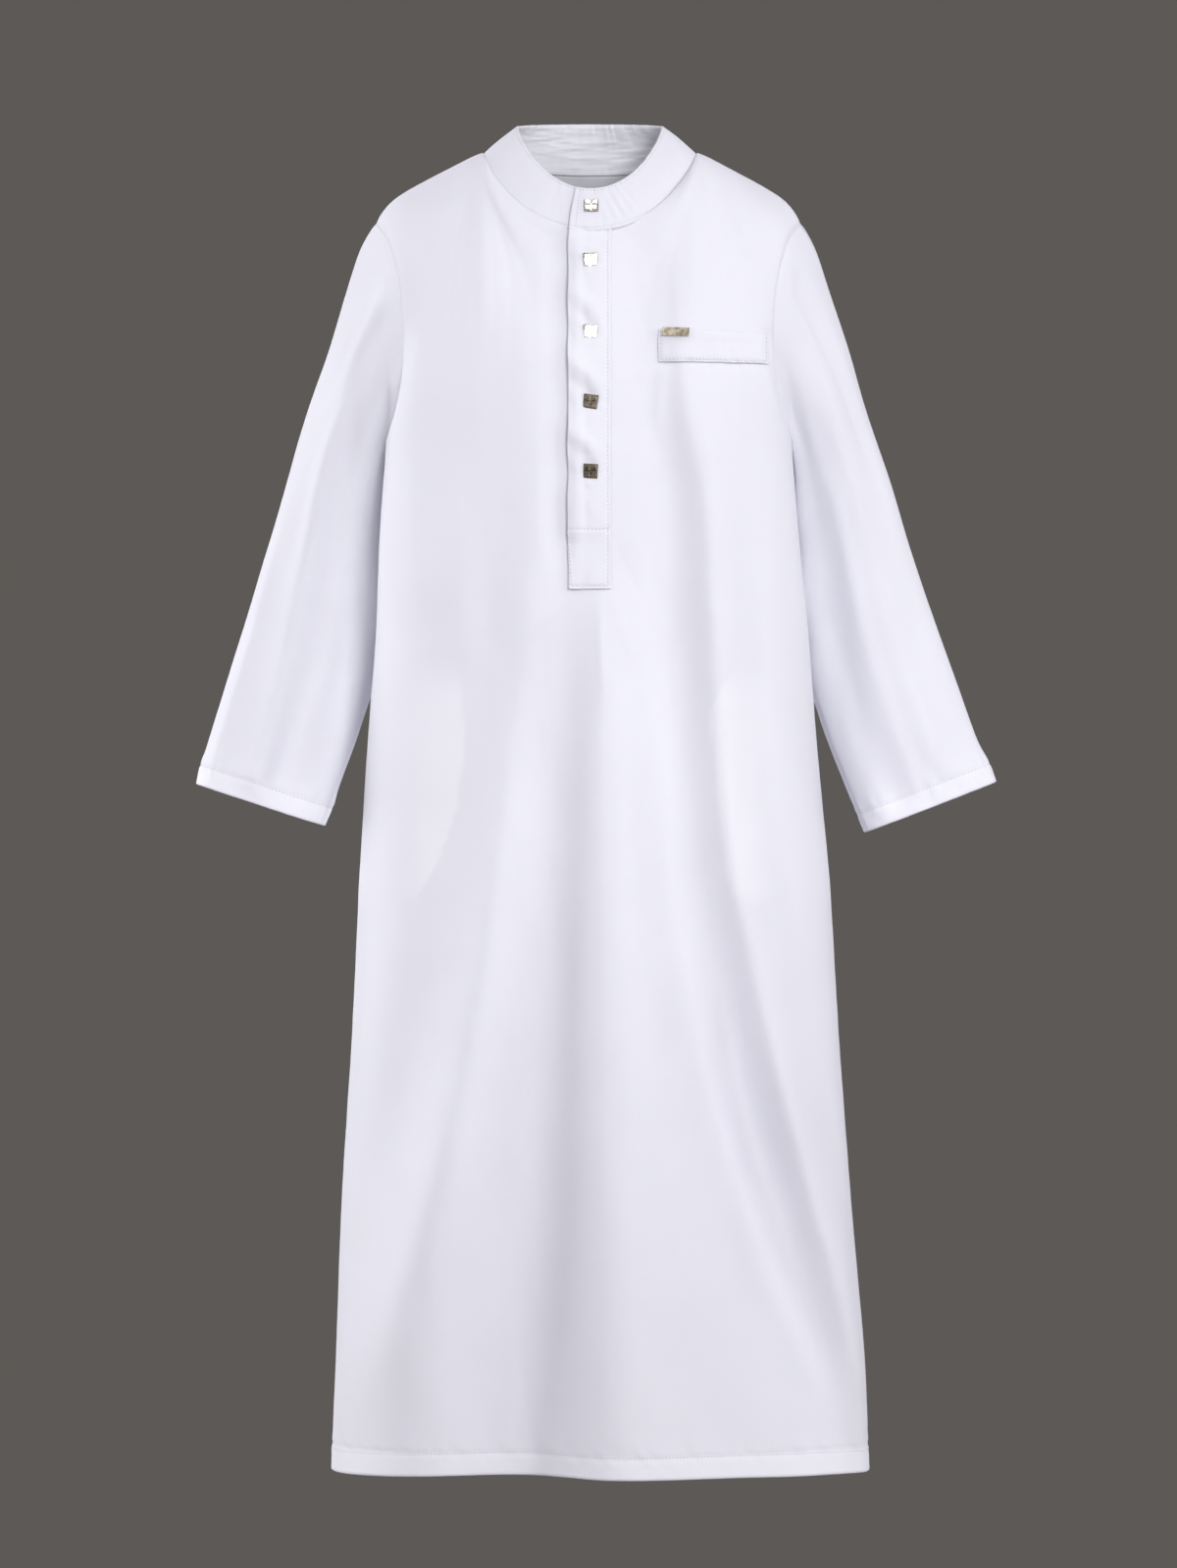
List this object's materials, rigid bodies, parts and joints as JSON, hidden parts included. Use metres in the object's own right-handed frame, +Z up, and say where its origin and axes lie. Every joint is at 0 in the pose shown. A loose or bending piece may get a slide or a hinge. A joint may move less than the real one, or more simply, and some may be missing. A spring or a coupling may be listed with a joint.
{
  "type": "thobe robe",
  "caption": "Long white robe with a stand collar, buttoned front band, chest pocket and straight sleeves, hanging hollow as worn.",
  "frame": {"origin": "in the neck opening, midway between the two ends of the shoulder seams at the collar, where the wearer's shoulders hold the robe up", "axes": "+Z up, the front faces -Y, +X towards the wearer's left"},
  "size_m": [0.6165, 0.2717, 1.0355],
  "materials": {
    "cloth": "White plain-woven shirting with a soft dull sheen",
    "collar_cloth": "White shirting over a firm interlining, edge stitched",
    "band_cloth": "White shirting, pressed and edge stitched",
    "bag_cloth": "Thin white pocketing",
    "button_metal": "Polished pale metal",
    "bar_metal": "Satin pale bronze metal, blank"
  },
  "bodies": {
    "root": {"front": "cloth", "back": "cloth", "sleeve_right": "cloth", "sleeve_left": "cloth", "collar": "collar_cloth", "placket_over": "band_cloth", "placket_under": "band_cloth", "pocket_welt": "band_cloth", "pocket_bag_right": "bag_cloth", "pocket_bag_left": "bag_cloth", "button_1": "button_metal", "button_2": "button_metal", "button_3": "button_metal", "button_4": "button_metal", "button_5": "button_metal", "pocket_bar": "bar_metal"}
  },
  "joints": []
}
